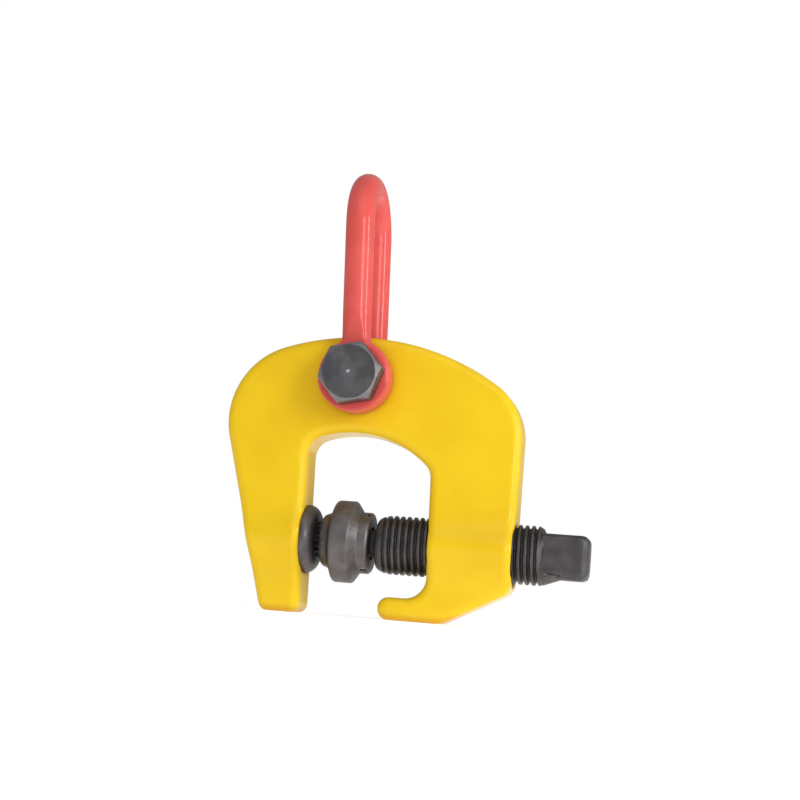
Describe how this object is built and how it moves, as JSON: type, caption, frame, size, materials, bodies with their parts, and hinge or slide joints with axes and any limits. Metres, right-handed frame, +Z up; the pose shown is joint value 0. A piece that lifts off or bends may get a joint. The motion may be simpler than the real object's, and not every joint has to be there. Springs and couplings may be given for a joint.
{
  "type": "plate lifting clamp",
  "caption": "Screw-type plate lifting clamp: a yellow C-shaped frame with a red bow shackle bolted through its crown and a clamp screw pushing a self-aligning pad against a fixed pad.",
  "frame": {"origin": "centre of the fixed pad's gripping face, on the clamp screw's axis", "axes": "+X along the clamp screw towards its drive square, +Z up to the shackle, Y through the frame's thickness with the shackle bolt's head at -Y"},
  "size_m": [0.2274, 0.1128, 0.276],
  "materials": {
    "frame_enamel": "glossy yellow enamel over a forging",
    "shackle_enamel": "glossy red enamel over a forging",
    "black_oxide_screw": "oiled black oxide on alloy steel",
    "black_oxide_pad": "oiled black oxide on alloy steel",
    "hardened_insert": "hardened and tempered steel",
    "bolt_steel": "dark phosphated bolt steel",
    "bright_steel": "ground bearing steel",
    "bush_bronze": "sintered bronze"
  },
  "bodies": {
    "frame_body": {"frame": "frame_enamel", "bolt_bush": "bush_bronze", "fixed_pad": "black_oxide_pad", "fixed_pad_insert": "hardened_insert", "fixed_pad_screw": "bolt_steel", "fixed_pad_lock_washer": "bolt_steel"},
    "shackle_body": {"shackle": "shackle_enamel", "shackle_bolt": "bolt_steel", "nut_washer": "bolt_steel", "castle_nut": "bolt_steel", "split_pin": "bright_steel", "thrust_washer_front": "bush_bronze", "thrust_washer_back": "bush_bronze"},
    "feed_body": {"thrust_ball": "bright_steel"},
    "screw_body": {"clamp_screw": "black_oxide_screw"},
    "seat_body": {"thrust_seat": "bright_steel"},
    "pad_assembly": {"pad_body": "black_oxide_pad", "pad_insert": "hardened_insert", "pad_pin_front": "bright_steel", "pad_pin_back": "bright_steel"}
  },
  "joints": [
    {"name": "shackle_swing", "type": "hinge", "parent": "frame_body", "child": "shackle_body", "pos_m": [0.019, 0, 0.0988], "axis": [0, 1, 0], "range_deg": [-132, 107]},
    {"name": "screw_feed", "type": "slide", "parent": "frame_body", "child": "feed_body", "axis": [1, 0, 0], "range_m": [-0.0009, 0.034]},
    {"name": "screw_turn", "type": "hinge", "parent": "feed_body", "child": "screw_body", "pos_m": [0.1, 0, 0], "axis": [1, 0, 0], "range_deg": [-81.5, 3061]},
    {"name": "pad_tilt", "type": "hinge", "parent": "feed_body", "child": "seat_body", "pos_m": [0.021, 0, 0], "axis": [0, 1, 0], "range_deg": [-3, 3]},
    {"name": "pad_spin", "type": "hinge", "parent": "seat_body", "child": "pad_assembly", "pos_m": [0.021, 0, 0], "axis": [1, 0, 0], "continuous": true}
  ],
  "couplings": [
    {"joint": "screw_turn", "follows": "screw_feed", "rad_per_m": 1570.8}
  ]
}
